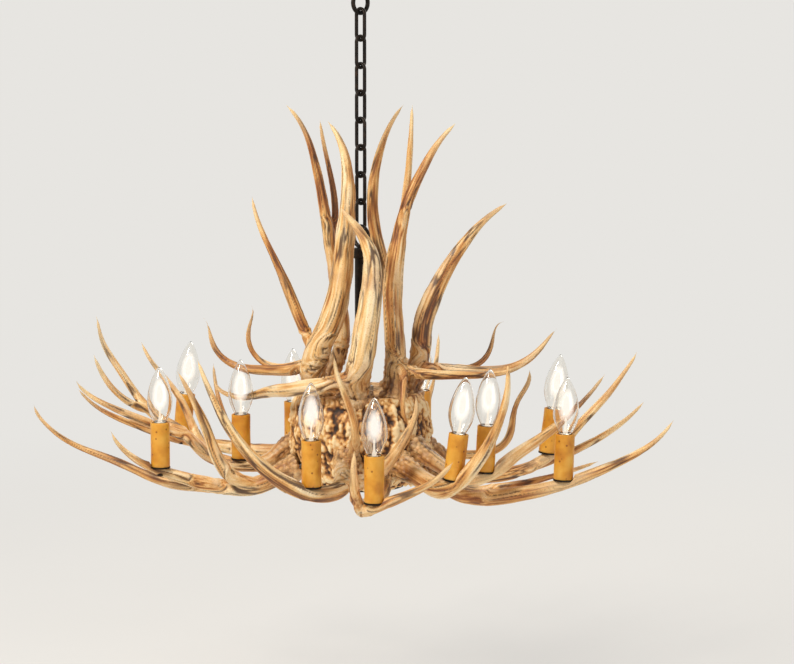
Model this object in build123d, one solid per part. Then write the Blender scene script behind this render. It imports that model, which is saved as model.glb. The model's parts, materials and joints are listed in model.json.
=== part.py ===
from build123d import *
import os
from dataclasses import dataclass, field
from math import cos, radians, sin

# An antler chandelier with twelve candle lamps, hung on a short iron chain.
# Millimetres, +Z up, X to the right and Y to the back of the photographed view.
# The part's origin is the centre of the two ceiling screws, in the ceiling's plane.
# The antlers and lamps are laid out from the lamp plane: the level of the bulbs' middle,
# straight below the origin, which is worked out from the canopy, the chain and the stem.

# ---- ceiling canopy and crossbar
CANOPY_RADIUS = 65.0
CANOPY_DEPTH = 24.0
CANOPY_WALL = 1.6
CANOPY_RIM = 5.0
CROSSBAR_LENGTH = 96.0
CROSSBAR_WIDTH = 20.0
CROSSBAR_THICKNESS = 2.6
CEILING_HOLE_SPACING = 69.85
CEILING_HOLE_RADIUS = 2.4
LAMP_PIPE_RADIUS = 5.0
LOCKNUT_ACROSS = 16.0
LOCKNUT_THICKNESS = 5.0

# ---- screw collar loops at both ends of the chain
LOOP_WIRE = 6.0
LOOP_RADIUS = 14.0
COLLAR_RADIUS = 12.0
COLLAR_HEIGHT = 14.0
COLLAR_NECK = 2.0

# ---- chain
LINK_COUNT = 8
LINK_WIRE = 5.0
LINK_INNER_LENGTH = 37.6
LINK_INNER_WIDTH = 10.4
CHAIN_TURN = 45.0
LINK_PLAY = 0.3

# ---- stem and hub drum
STEM_RADIUS = 8.5
STEM_BORE = 5.5
LOOP_ABOVE_LAMPS = 203.0
DRUM_TOP = -12.0
DRUM_BOTTOM = -140.0
DRUM_BELLY_RADIUS = 98.0
DRUM_TOP_RADIUS = 84.0
DRUM_BOTTOM_RADIUS = 74.0
DRUM_ROOF = 34.0
WIRE_WELL_RADIUS = 34.0
COVER_THICKNESS = 4.0
COVER_MARGIN = 12.0
STEM_NUT_ACROSS = 30.0
STEM_NUT_THICKNESS = 7.0

# ---- how an antler is seated on the drum
WALL_SEAT_REACH = 91.0
TOP_SEAT_REACH = 65.0
TOP_SEAT_DEPTH = 4.0
BURR_FLARE = 1.42
BURR_THICKNESS = 9.0
STUD_RADIUS = 3.0
STUD_LENGTH = 36.0

# ---- candle lamps
SPOT_FACE_DEPTH = 3.0
SPOT_FACE_RADIUS = 15.0
PAN_RADIUS = 13.6
PAN_THICKNESS = 2.0
SLEEVE_RADIUS = 13.2
SLEEVE_WALL = 2.2
SLEEVE_HEIGHT = 62.0
SOCKET_RADIUS = 10.2
SOCKET_HEIGHT = 57.0
SOCKET_BORE = 6.5
NIPPLE_RADIUS = 4.8
NIPPLE_LENGTH = 22.0
BULB_BASE_RADIUS = 6.1
BULB_BASE_LENGTH = 21.0
BULB_SKIRT = 2.0
GLASS_RADIUS = 17.5
GLASS_HEIGHT = 77.0
GLASS_WALL = 0.9
GLASS_NECK = 8.6
GLASS_WAIST = 0.37
BULB_LIFT = 24.0

# ---- fits
SLIP = 0.1
RUN_CLEAR = 0.3

# ---- antler limbs
SECTION_SPACING = 34.0
TIP_THICKNESS = 3.4

# ---- heights that follow from the sizes above
link_mid_length = LINK_INNER_LENGTH + LINK_WIRE
link_step = link_mid_length - LINK_WIRE - LINK_PLAY
loop_to_link = (LOOP_WIRE + LINK_WIRE) / 2 + LINK_PLAY
canopy_loop_z = -CANOPY_DEPTH - COLLAR_HEIGHT - COLLAR_NECK - LOOP_RADIUS
first_pivot_z = canopy_loop_z - LOOP_RADIUS
first_link_z = first_pivot_z + loop_to_link - link_mid_length / 2
last_link_z = first_link_z - (LINK_COUNT - 1) * link_step
last_pivot_z = last_link_z - link_mid_length / 2
hub_loop_z = last_pivot_z + loop_to_link - LOOP_RADIUS
lamp_plane_z = hub_loop_z - LOOP_ABOVE_LAMPS


@dataclass
class Limb:
    """One beam or tine: the points of its centre line, and its thickness where it starts."""
    points: list
    thick: float
    root: int = -1          # the beam's point that a tine grows from
    fade: float = 1.7       # how late along its length it thins


@dataclass
class Antler:
    """One antler: where its burr sits on the drum, its beam, its tines and its lamps."""
    azimuth: float          # of the seat, from +X towards the back
    level: float            # of the seat, from the lamp plane; DRUM_TOP for the crown
    tilt: float             # of the seat's axis above the horizontal
    beam: Limb
    tines: list = field(default_factory=list)
    lamps: dict = field(default_factory=dict)   # lamp number to (point of the beam, lean)


CROWN_TILT = 74.0

# Points are (right, back, up) from the lamp plane on the hanging axis.
LOWER = {
    "antler_front_cross": Antler(-102, -92, -22, Limb(
        [(-24, -136, -118), (-66, -191, -121), (-124, -208, -88), (-167, -210, -40),
         (-197, -205, 15), (-216, -195, 62)], 26),
        [Limb([(4, -124, -117), (28, -130, -100), (52, -138, -68), (71, -142, -29), (72, -142, 5)],
              21, 0),
         Limb([(-21, -112, -101), (-8, -117, -58), (-13, -119, -25), (-26, -121, 10),
               (-36, -122, 58)], 13)],
        {5: (1, 0)}),
    "antler_front_fork": Antler(-75, -122, -12, Limb(
        [(16, -150, -139), (3, -203, -141), (17, -236, -131), (55, -241, -115), (96, -228, -97),
         (120, -216, -68)], 24),
        [Limb([(-8, -228, -118), (-10, -238, -86), (-9, -238, -53)], 18, 1)],
        {6: (2, 0)}),
    "antler_right_front": Antler(-56, -102, -12, Limb(
        [(92, -128, -121), (122, -174, -115), (155, -194, -76), (178, -204, -32), (191, -208, 12),
         (193, -205, 52)], 27),
        [],
        {8: (1, 7)}),
    "antler_right_mid": Antler(-38, -80, -25, Limb(
        [(125, -98, -112), (166, -131, -110), (195, -127, -91), (259, -98, -51), (304, -88, -11),
         (333, -80, 24)], 22),
        [],
        {9: (1, 3)}),
    "antler_right_long": Antler(-18, -122, -22, Limb(
        [(130, -60, -144), (205, -104, -140), (272, -132, -120), (333, -140, -95),
         (395, -135, -61), (422, -125, -32)], 24),
        [Limb([(200, -74, -134), (269, -82, -116), (325, -84, -97)], 14, 0)],
        {11: (2, 2)}),
    "antler_right_back": Antler(4, -92, -30, Limb(
        [(140, 6, -128), (205, 12, -132), (262, 24, -110), (305, 26, -66), (344, 26, -24),
         (374, 23, 19), (386, 20, 41)], 21),
        [Limb([(262, 48, -122), (317, 58, -100), (368, 65, -70), (402, 65, -37)], 14, 1)],
        {10: (2, 7)}),
    "antler_back_right": Antler(44, -106, -15, Limb(
        [(92, 122, -124), (97, 175, -124), (90, 228, -116), (95, 285, -88), (110, 330, -35),
         (118, 350, 25)], 22),
        [Limb([(150, 142, -128), (209, 152, -112), (222, 160, -70), (237, 165, -33),
               (259, 165, 12)], 14, 0)],
        {12: (2, 0)}),
    "antler_back": Antler(92, -90, -20, Limb(
        [(-8, 150, -113), (-15, 215, -118), (-10, 281, -112), (-5, 335, -85), (5, 380, -35),
         (8, 398, 22)], 23),
        [Limb([(-55, 252, -104), (-88, 290, -60), (-100, 312, -5)], 14, 1)],
        {7: (2, 0)}),
    "antler_back_left": Antler(128, -108, -15, Limb(
        [(-98, 150, -122), (-160, 184, -127), (-215, 194, -121), (-262, 192, -113),
         (-320, 176, -92), (-378, 158, -62), (-410, 145, -28)], 23),
        [Limb([(-188, 240, -115), (-212, 290, -72), (-222, 315, -15)], 14, 1)],
        {4: (0, 0), 2: (3, 6)}),
    "antler_left_back": Antler(166, -88, -25, Limb(
        [(-130, 20, -115), (-168, 19, -119), (-212, 36, -111), (-244, 55, -87), (-300, 68, -49),
         (-331, 71, -8), (-359, 70, 37), (-373, 65, 86)], 22),
        [Limb([(-236, 72, -80), (-261, 92, -31), (-295, 100, 11), (-313, 100, 45)], 13, 2),
         Limb([(-298, 42, -64), (-341, 30, -43), (-378, 24, -22), (-398, 20, 1)], 14, 3),
         Limb([(-338, 50, -27), (-363, 40, 7), (-374, 35, 36)], 11, 4)],
        {3: (1, 0)}),
    "antler_left_long": Antler(192, -116, -15, Limb(
        [(-146, -16, -142), (-196, -18, -143), (-244, -24, -130), (-277, -34, -118),
         (-322, -50, -90), (-343, -60, -56)], 25),
        [Limb([(-200, -40, -95), (-212, -45, -60), (-234, -50, -9), (-253, -50, 25)], 20, 0),
         Limb([(-240, 4, -146), (-282, 20, -141), (-342, 35, -118), (-393, 40, -99),
               (-439, 40, -69), (-459, 35, -34)], 16, 1)],
        {1: (3, 0)}),
}
UPPER = {
    "antler_left_crown": Antler(207, DRUM_TOP, CROWN_TILT, Limb(
        [(-66, -36, 25), (-52, -42, 64), (-32, -45, 120), (-24, -45, 180), (-17, -42, 258),
         (-21, -35, 315), (-46, -22, 364)], 35, -1, 2.2),
        [Limb([(-99, 5, 17), (-156, 50, 12), (-186, 62, 19), (-208, 66, 46), (-223, 68, 83)],
              18, 0),
         Limb([(-72, -22, 60), (-87, -15, 98), (-114, -10, 163), (-139, -5, 218),
               (-150, 0, 261)], 17, 0)]),
    "antler_front_crown": Antler(263, DRUM_TOP, CROWN_TILT - 6, Limb(
        [(-3, -83, 27), (8, -84, 90), (16, -80, 153), (11, -76, 191), (-7, -71, 224),
         (-28, -64, 252)], 35, -1, 2.2),
        [Limb([(-26, -84, 12), (-66, -76, 5), (-100, -46, -3), (-136, 14, -17), (-172, 55, -29),
               (-194, 65, -24), (-205, 69, 2)], 23, 0)]),
    "antler_right_crown": Antler(-3, DRUM_TOP, CROWN_TILT, Limb(
        [(79, -8, 24), (84, -8, 68), (99, -5, 119), (126, 0, 169), (163, 5, 217), (204, 10, 249)],
        28, -1, 2.0),
        [Limb([(104, -18, 21), (149, -24, 19), (214, -20, 25), (247, -15, 48), (272, -10, 77)],
              18, 0)]),
    "antler_right_front_crown": Antler(-48, DRUM_TOP, CROWN_TILT + 10, Limb(
        [(47, -42, 30), (44, -28, 96), (45, -20, 158), (52, -16, 200), (64, -12, 251),
         (82, -12, 291), (105, -14, 331), (131, -16, 361)], 27, -1, 2.4),
        [Limb([(59, 6, 236), (66, 14, 295), (71, 14, 385)], 13, 3),
         Limb([(75, -60, 22), (110, -63, 19), (150, -58, 18), (195, -50, 20), (232, -42, 37)],
              16, 0),
         Limb([(58, -78, 14), (56, -97, -14), (62, -102, -40)], 14, 0)]),
    "antler_back_right_crown": Antler(48, DRUM_TOP, CROWN_TILT + 8, Limb(
        [(47, 49, 30), (47, 47, 80), (33, 46, 150), (20, 46, 205), (17, 46, 265), (25, 46, 311),
         (40, 43, 352), (61, 40, 384)], 24, -1, 2.2),
        [Limb([(83, 60, 12), (126, 72, 6), (167, 80, 14), (190, 86, 54), (204, 86, 74)], 14, 0)]),
    "antler_back_left_crown": Antler(128, DRUM_TOP, CROWN_TILT + 8, Limb(
        [(-31, 50, 30), (-27, 49, 80), (-33, 48, 130), (-42, 46, 188), (-53, 44, 252),
         (-63, 42, 300), (-80, 40, 351), (-104, 36, 383)], 23, -1, 2.2),
        [Limb([(-36, 64, 240), (-48, 72, 309), (-57, 72, 362)], 12, 3),
         Limb([(-86, 75, 14), (-129, 90, 10), (-152, 96, 26), (-159, 97, 58), (-156, 96, 98)],
              14, 0)]),
}
ANTLERS = {**LOWER, **UPPER}


def fixture(point):
    """A point given from the lamp plane, in the part's own frame."""
    return Vector(point[0], point[1], point[2] + lamp_plane_z)


def around(azimuth, reach, height):
    """A point at a reach from the hanging axis, given from the lamp plane."""
    angle = radians(azimuth)
    return fixture((reach * cos(angle), reach * sin(angle), height))


# ------------------------------------------------------------------ antlers

def seat_plane(antler):
    """The plane that an antler's burr sits on, its normal pointing into the antler."""
    angle = radians(antler.azimuth)
    tilt = radians(antler.tilt)
    normal = Vector(cos(tilt) * cos(angle), cos(tilt) * sin(angle), sin(tilt))
    if antler.level == DRUM_TOP:
        origin = around(antler.azimuth, TOP_SEAT_REACH, DRUM_TOP - TOP_SEAT_DEPTH)
    else:
        origin = around(antler.azimuth, WALL_SEAT_REACH, antler.level)
    return Plane(origin=origin, z_dir=normal)


def centre_line(antler, limb):
    """The smooth centre line of a beam, from its seat, or of a tine, from the beam."""
    points = [fixture(point) for point in limb.points]
    if limb is antler.beam:
        seat = seat_plane(antler)
        return Spline(seat.origin, seat.origin + seat.z_dir * (BURR_THICKNESS + 5), *points)
    if limb.root >= 0:
        points.insert(0, fixture(antler.beam.points[limb.root]))
    return Spline(*points)


def thickness(limb, along):
    """The limb's radius at a share of its length: full at its root, thin at its tip."""
    return (TIP_THICKNESS + (limb.thick - TIP_THICKNESS) * (1 - along ** limb.fade)) / 2


def grow(antler, limb):
    """A tapering round limb, lofted through rings square to its centre line."""
    path = centre_line(antler, limb)
    count = max(4, round(path.length / SECTION_SPACING))
    rings = []
    side = path.tangent_at(0).cross(Vector(0.31, 0.23, 0.92)).normalized()
    for step in range(count + 1):
        along = step / count
        ahead = path.tangent_at(along)
        side = (side - ahead * side.dot(ahead)).normalized()
        ring = Plane(origin=path.position_at(along), x_dir=side, z_dir=ahead)
        rings.append(ring * Circle(thickness(limb, along)))
    return loft(rings)


def burr_radius(antler):
    return antler.beam.thick / 2 * BURR_FLARE


def burr(antler):
    """The flared coronet at an antler's foot, flat on its seat."""
    disc = Cylinder(burr_radius(antler), BURR_THICKNESS, align=(Align.CENTER, Align.CENTER, Align.MIN))
    disc = fillet(disc.edges().filter_by(GeomType.CIRCLE).sort_by(Axis.Z)[-1], BURR_THICKNESS * 0.45)
    return seat_plane(antler) * disc


def lamp_plane(antler, place):
    """The flat that a lamp stands on: its origin on the flat, its normal up the candle."""
    index, lean = place
    path = centre_line(antler, antler.beam)
    middle = fixture(antler.beam.points[index])
    radius = thickness(antler.beam, path.param_at_point(middle))
    up = Vector(sin(radians(lean)), 0, cos(radians(lean)))
    return Plane(origin=middle + Vector(0, 0, radius - SPOT_FACE_DEPTH), x_dir=(0, 1, 0), z_dir=up)


def make_antler(antler):
    body = grow(antler, antler.beam) + burr(antler)
    for limb in antler.tines:
        body += grow(antler, limb)
    behind_seat = Cylinder(burr_radius(antler), BURR_THICKNESS, align=(Align.CENTER, Align.CENTER, Align.MAX))
    body -= seat_plane(antler) * behind_seat
    body -= seat_plane(antler) * Cylinder(STUD_RADIUS + SLIP, STUD_LENGTH)
    for place in antler.lamps.values():
        flat = lamp_plane(antler, place)
        above = Cylinder(SPOT_FACE_RADIUS, SLEEVE_HEIGHT,
                         align=(Align.CENTER, Align.CENTER, Align.MIN))
        body -= flat * above
        body -= flat * Cylinder(NIPPLE_RADIUS + SLIP, NIPPLE_LENGTH)
    return body


# ------------------------------------------------------------------ hub

def make_drum():
    """The burr drum: a barrel with a wire well, spot-faced where each antler sits."""
    top = DRUM_TOP + lamp_plane_z
    bottom = DRUM_BOTTOM + lamp_plane_z
    middle = (top + bottom) / 2
    outline = Polyline((0, top), (DRUM_TOP_RADIUS, top)) \
        + ThreePointArc((DRUM_TOP_RADIUS, top), (DRUM_BELLY_RADIUS, middle),
                        (DRUM_BOTTOM_RADIUS, bottom)) \
        + Polyline((DRUM_BOTTOM_RADIUS, bottom), (0, bottom), (0, top))
    drum = revolve(Plane.XZ * make_face(outline), Axis.Z)
    well = Cylinder(WIRE_WELL_RADIUS, top - bottom - DRUM_ROOF,
                    align=(Align.CENTER, Align.CENTER, Align.MIN))
    drum -= Pos(0, 0, bottom) * well
    drum -= Pos(0, 0, middle) * Cylinder(STEM_RADIUS + SLIP, top - bottom)
    for antler in ANTLERS.values():
        pocket = Cylinder(burr_radius(antler) + RUN_CLEAR, BURR_THICKNESS * 4,
                          align=(Align.CENTER, Align.CENTER, Align.MIN))
        drum -= seat_plane(antler) * pocket
        drum -= seat_plane(antler) * Cylinder(STUD_RADIUS + SLIP, STUD_LENGTH)
    return drum


def make_cover():
    radius = DRUM_BOTTOM_RADIUS - COVER_MARGIN
    bottom = DRUM_BOTTOM + lamp_plane_z
    cover = Cylinder(radius, COVER_THICKNESS, align=(Align.CENTER, Align.CENTER, Align.MAX))
    cover = chamfer(cover.edges().filter_by(GeomType.CIRCLE).sort_by(Axis.Z)[0], 1.2)
    cover -= Cylinder(STEM_RADIUS + SLIP, COVER_THICKNESS * 3)
    return Pos(0, 0, bottom) * cover


def collar_loop():
    """A screw collar with a round ring under it; the collar's top face is at zero."""
    collar = Cylinder(COLLAR_RADIUS, COLLAR_HEIGHT, align=(Align.CENTER, Align.CENTER, Align.MAX))
    collar = chamfer(collar.edges().filter_by(GeomType.CIRCLE), 1.5)
    ring = Rot(90, 0, 0) * Torus(LOOP_RADIUS, LOOP_WIRE / 2)
    neck = Cylinder(LOOP_WIRE * 0.8, COLLAR_NECK + LOOP_WIRE, align=(Align.CENTER, Align.CENTER, Align.MAX))
    ring_drop = COLLAR_HEIGHT + COLLAR_NECK + LOOP_RADIUS
    body = collar + Pos(0, 0, -ring_drop) * ring
    body += Pos(0, 0, -COLLAR_HEIGHT + LOOP_WIRE / 2) * neck
    return body


def make_hub_loop():
    """The loop at the stem's head, turned over so that its ring is on top."""
    bore = Cylinder(STEM_RADIUS + SLIP, COLLAR_HEIGHT * 0.75,
                    align=(Align.CENTER, Align.CENTER, Align.MAX))
    body = collar_loop() - bore
    foot = hub_loop_z - LOOP_RADIUS - COLLAR_NECK - COLLAR_HEIGHT
    turned = Rot(0, 0, CHAIN_TURN + link_turn(LINK_COUNT)) * Rot(180, 0, 0) * body
    return Pos(0, 0, foot) * turned


def stem_ends():
    """The stem's foot, below its nut, and its head, at the end of the loop's bore."""
    head = hub_loop_z - LOOP_RADIUS - COLLAR_NECK - COLLAR_HEIGHT * 0.25
    foot = DRUM_BOTTOM + lamp_plane_z - COVER_THICKNESS - STEM_NUT_THICKNESS - 2
    return foot, head


def make_stem():
    foot, head = stem_ends()
    pipe = Cylinder(STEM_RADIUS, head - foot) - Cylinder(STEM_BORE, head - foot)
    side_port = Rot(0, 90, 0) * Cylinder(STEM_BORE * 0.7, STEM_RADIUS * 4)
    port_z = (DRUM_BOTTOM + DRUM_TOP) / 2 + lamp_plane_z - (foot + head) / 2
    return Pos(0, 0, (foot + head) / 2) * (pipe - Pos(0, 0, port_z) * side_port)


def hex_nut(across, height, bore):
    nut = extrude(RegularPolygon(across / 2, 6, major_radius=False), height)
    return nut - Cylinder(bore, height * 4)


def make_hub_fasteners():
    """The studs that hold the antlers, and the two nuts that clamp drum and cover."""
    pieces = [seat_plane(antler) * Cylinder(STUD_RADIUS, STUD_LENGTH - 2 * RUN_CLEAR)
              for antler in ANTLERS.values()]
    nut = hex_nut(STEM_NUT_ACROSS, STEM_NUT_THICKNESS, STEM_RADIUS + SLIP)
    pieces.append(Pos(0, 0, DRUM_TOP + lamp_plane_z) * nut)
    pieces.append(Pos(0, 0, DRUM_BOTTOM + lamp_plane_z - COVER_THICKNESS - STEM_NUT_THICKNESS) * nut)
    return Compound(children=solids_of(pieces))


def solids_of(pieces):
    return [solid for piece in pieces for solid in piece.solids()]


# ------------------------------------------------------------------ chain and canopy

def link_turn(index):
    """Each link, and the loop after the last one, is a quarter turn from the one above."""
    return 90.0 * ((index + 1) % 2)


def make_link(index):
    """A chain link: two half rings and two straight sides of round wire."""
    bend = (LINK_INNER_WIDTH + LINK_WIRE) / 2
    straight = link_mid_length - 2 * bend
    section = Pos(bend, 0, 0) * Circle(LINK_WIRE / 2)
    half = Rot(90, 0, 0) * revolve(Plane.XZ * section, Axis.Z, 180)
    side = Cylinder(LINK_WIRE / 2, straight)
    top = Pos(0, 0, straight / 2) * half
    low = Pos(0, 0, -straight / 2) * (Rot(180, 0, 0) * half)
    link = top + low + Pos(bend, 0, 0) * side + Pos(-bend, 0, 0) * side
    height = first_link_z - index * link_step
    return Pos(0, 0, height) * Rot(0, 0, CHAIN_TURN + link_turn(index)) * link


def make_canopy():
    """The ceiling canopy: a shallow spun dome with a flat rim."""
    inner = CANOPY_RADIUS - CANOPY_RIM
    neck = COLLAR_RADIUS + 3
    outer_arc = ThreePointArc((CANOPY_RADIUS, 0), (CANOPY_RADIUS * 0.78, -CANOPY_DEPTH * 0.72),
                              (neck, -CANOPY_DEPTH))
    inner_arc = ThreePointArc((neck, -CANOPY_DEPTH + CANOPY_WALL),
                              ((CANOPY_RADIUS - CANOPY_WALL) * 0.765, (-CANOPY_DEPTH + CANOPY_WALL) * 0.7),
                              (inner + CANOPY_RIM - CANOPY_WALL * 1.6, -CANOPY_WALL))
    bore = LAMP_PIPE_RADIUS + SLIP
    outline = outer_arc \
        + Polyline((neck, -CANOPY_DEPTH), (bore, -CANOPY_DEPTH), (bore, -CANOPY_DEPTH + CANOPY_WALL),
                   (neck, -CANOPY_DEPTH + CANOPY_WALL)) \
        + inner_arc \
        + Polyline((inner + CANOPY_RIM - CANOPY_WALL * 1.6, -CANOPY_WALL), (inner, -CANOPY_WALL),
                   (inner, 0), (CANOPY_RADIUS, 0))
    return revolve(Plane.XZ * make_face(outline), Axis.Z)


def make_crossbar():
    bar = Box(CROSSBAR_LENGTH, CROSSBAR_WIDTH, CROSSBAR_THICKNESS,
              align=(Align.CENTER, Align.CENTER, Align.MAX))
    bar = fillet(bar.edges().filter_by(Axis.Z), CROSSBAR_WIDTH * 0.4)
    for side in (-1, 1):
        bar -= Pos(side * CEILING_HOLE_SPACING / 2, 0, 0) * Cylinder(CEILING_HOLE_RADIUS, 20)
    return bar - Cylinder(LAMP_PIPE_RADIUS + SLIP, 20)


def make_canopy_nipple():
    """The threaded pipe from the crossbar to the collar, with its locknut."""
    length = CANOPY_DEPTH + COLLAR_HEIGHT * 0.7
    pipe = Cylinder(LAMP_PIPE_RADIUS, length, align=(Align.CENTER, Align.CENTER, Align.MAX))
    pipe -= Cylinder(LAMP_PIPE_RADIUS * 0.6, length * 3)
    nut = hex_nut(LOCKNUT_ACROSS, LOCKNUT_THICKNESS, LAMP_PIPE_RADIUS + SLIP)
    nut = Pos(0, 0, -CROSSBAR_THICKNESS - LOCKNUT_THICKNESS) * nut
    return Compound(children=solids_of([pipe, nut]))


def make_canopy_loop():
    bore = Cylinder(LAMP_PIPE_RADIUS + SLIP, COLLAR_HEIGHT * 0.7,
                    align=(Align.CENTER, Align.CENTER, Align.MAX))
    return Pos(0, 0, -CANOPY_DEPTH) * Rot(0, 0, CHAIN_TURN) * (collar_loop() - bore)


# ------------------------------------------------------------------ lamps

def make_sleeve():
    """The candle cover: a drip-less honey tube over the socket."""
    tube = Cylinder(SLEEVE_RADIUS, SLEEVE_HEIGHT, align=(Align.CENTER, Align.CENTER, Align.MIN))
    tube = fillet(tube.edges().filter_by(GeomType.CIRCLE).sort_by(Axis.Z)[-1], 0.8)
    tube -= Cylinder(SLEEVE_RADIUS - SLEEVE_WALL, SLEEVE_HEIGHT * 3)
    return Pos(0, 0, PAN_THICKNESS) * tube


def make_socket():
    """The candelabra lampholder, which the bulb screws into."""
    body = Cylinder(SOCKET_RADIUS, SOCKET_HEIGHT, align=(Align.CENTER, Align.CENTER, Align.MIN))
    body = Pos(0, 0, PAN_THICKNESS) * body
    bore_floor = bulb_seat() - RUN_CLEAR
    bore = Cylinder(SOCKET_BORE, SLEEVE_HEIGHT, align=(Align.CENTER, Align.CENTER, Align.MIN))
    body -= Pos(0, 0, bore_floor) * bore
    return body - Cylinder(NIPPLE_RADIUS + SLIP, NIPPLE_LENGTH)


def bulb_seat():
    """Height of the bulb's contact above the lamp's flat."""
    return PAN_THICKNESS + SLEEVE_HEIGHT - BULB_BASE_LENGTH


def make_lamp_hardware():
    """The pan and the threaded nipple under one lamp."""
    pan = Cylinder(PAN_RADIUS, PAN_THICKNESS, align=(Align.CENTER, Align.CENTER, Align.MIN))
    pan -= Cylinder(NIPPLE_RADIUS + SLIP, PAN_THICKNESS * 3)
    nipple = Cylinder(NIPPLE_RADIUS, NIPPLE_LENGTH - 2 * RUN_CLEAR)
    return [pan, nipple]


def glass_solid(shrink):
    """The torpedo glass: a round bowl drawn out to a point, and drawn in by shrink."""
    glass_foot = bulb_seat() + BULB_BASE_LENGTH
    widest = (GLASS_RADIUS - shrink, glass_foot + GLASS_HEIGHT * GLASS_WAIST)
    foot = (GLASS_NECK - shrink, glass_foot)
    tip = (0, glass_foot + GLASS_HEIGHT - shrink)
    point = Bezier(widest, (widest[0], widest[1] + GLASS_HEIGHT * 0.32),
                   (widest[0] * 0.36, tip[1] - GLASS_HEIGHT * 0.13), tip)
    bowl = Bezier(widest, (widest[0], widest[1] - GLASS_HEIGHT * 0.16),
                  (foot[0] * 1.25, foot[1] + GLASS_HEIGHT * 0.07), foot)
    outline = point + bowl + Polyline(tip, (0, foot[1]), foot)
    return revolve(Plane.XZ * make_face(outline), Axis.Z)


def make_bulb():
    """A candle bulb: hollow glass, its screw base and the stem that holds the filament."""
    glass = glass_solid(0) - glass_solid(GLASS_WALL)
    base = Cylinder(BULB_BASE_RADIUS, BULB_BASE_LENGTH * 0.86,
                    align=(Align.CENTER, Align.CENTER, Align.MAX))
    contact = Cone(BULB_BASE_RADIUS * 0.35, BULB_BASE_RADIUS * 0.9, BULB_BASE_LENGTH * 0.14,
                   align=(Align.CENTER, Align.CENTER, Align.MIN))
    glass_foot = bulb_seat() + BULB_BASE_LENGTH
    skirt = Cylinder(GLASS_NECK, BULB_SKIRT, align=(Align.CENTER, Align.CENTER, Align.MAX))
    screw = Pos(0, 0, glass_foot) * (base + skirt) + Pos(0, 0, bulb_seat()) * contact
    stem = Cone(3.2, 1.6, GLASS_HEIGHT * 0.3, align=(Align.CENTER, Align.CENTER, Align.MIN))
    stem = Pos(0, 0, glass_foot) * stem
    return Compound(children=solids_of([glass, screw, stem]))


# ------------------------------------------------------------------ the kit of parts

def lamp_places():
    """Each lamp's number and the plane it stands on."""
    places = {}
    for antler in ANTLERS.values():
        for number, place in antler.lamps.items():
            places[number] = lamp_plane(antler, place)
    return dict(sorted(places.items()))


def build():
    parts = {
        "ceiling_canopy": make_canopy(),
        "crossbar": make_crossbar(),
        "canopy_nipple": make_canopy_nipple(),
        "canopy_loop": make_canopy_loop(),
        "hub_loop": make_hub_loop(),
        "stem_pipe": make_stem(),
        "hub_drum": make_drum(),
        "hub_cover": make_cover(),
        "hub_fasteners": make_hub_fasteners(),
    }
    for index in range(LINK_COUNT):
        parts[f"chain_link_{index + 1}"] = make_link(index)
    for name, antler in ANTLERS.items():
        parts[name] = make_antler(antler)
    places = lamp_places()
    sleeve = make_sleeve()
    bulb = make_bulb()
    for number, plane in places.items():
        parts[f"candle_sleeve_{number}"] = plane * sleeve
        parts[f"bulb_{number}"] = plane * bulb
    socket = make_socket()
    parts["lamp_sockets"] = Compound(
        children=solids_of([plane * socket for plane in places.values()]))
    parts["lamp_hardware"] = Compound(
        children=solids_of([plane * piece for plane in places.values()
                            for piece in make_lamp_hardware()]))
    return parts


if __name__ == "__main__":
    os.makedirs("parts", exist_ok=True)
    for node, shape in build().items():
        export_step(shape, f"parts/{node}.step")
    print("lamp plane at", round(lamp_plane_z, 2))
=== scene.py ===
"""The looks of a round antler chandelier: ridged antlers, a rough burr heart, honey candle sleeves,
clear torpedo bulbs with a lit filament, and a blackened iron chain. Everything is in metres."""
import heapq
import json
import math

import bpy
import numpy as np
from mathutils import Matrix, Vector, geometry, kdtree


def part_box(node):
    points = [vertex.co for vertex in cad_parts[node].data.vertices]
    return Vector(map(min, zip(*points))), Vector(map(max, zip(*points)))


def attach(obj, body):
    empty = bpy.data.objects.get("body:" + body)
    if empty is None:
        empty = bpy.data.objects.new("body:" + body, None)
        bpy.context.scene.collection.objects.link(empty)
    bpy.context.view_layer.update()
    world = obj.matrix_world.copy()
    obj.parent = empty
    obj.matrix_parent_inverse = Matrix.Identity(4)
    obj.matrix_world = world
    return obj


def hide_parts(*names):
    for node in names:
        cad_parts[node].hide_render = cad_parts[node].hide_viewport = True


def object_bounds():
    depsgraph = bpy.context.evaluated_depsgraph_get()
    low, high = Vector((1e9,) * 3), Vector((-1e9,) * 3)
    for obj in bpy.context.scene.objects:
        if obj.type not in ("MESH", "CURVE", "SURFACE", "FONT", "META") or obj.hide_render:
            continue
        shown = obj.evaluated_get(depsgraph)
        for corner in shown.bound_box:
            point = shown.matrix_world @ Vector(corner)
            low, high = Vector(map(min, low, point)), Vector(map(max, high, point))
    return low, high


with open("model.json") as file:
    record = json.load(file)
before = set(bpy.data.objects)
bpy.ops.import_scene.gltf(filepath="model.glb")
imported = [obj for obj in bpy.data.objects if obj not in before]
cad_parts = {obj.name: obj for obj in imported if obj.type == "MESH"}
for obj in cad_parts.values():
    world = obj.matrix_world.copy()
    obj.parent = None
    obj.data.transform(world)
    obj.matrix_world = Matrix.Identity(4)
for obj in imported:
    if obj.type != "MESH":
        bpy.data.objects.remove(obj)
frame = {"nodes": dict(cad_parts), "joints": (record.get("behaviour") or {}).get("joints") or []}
cad_low, cad_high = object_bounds()

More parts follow.
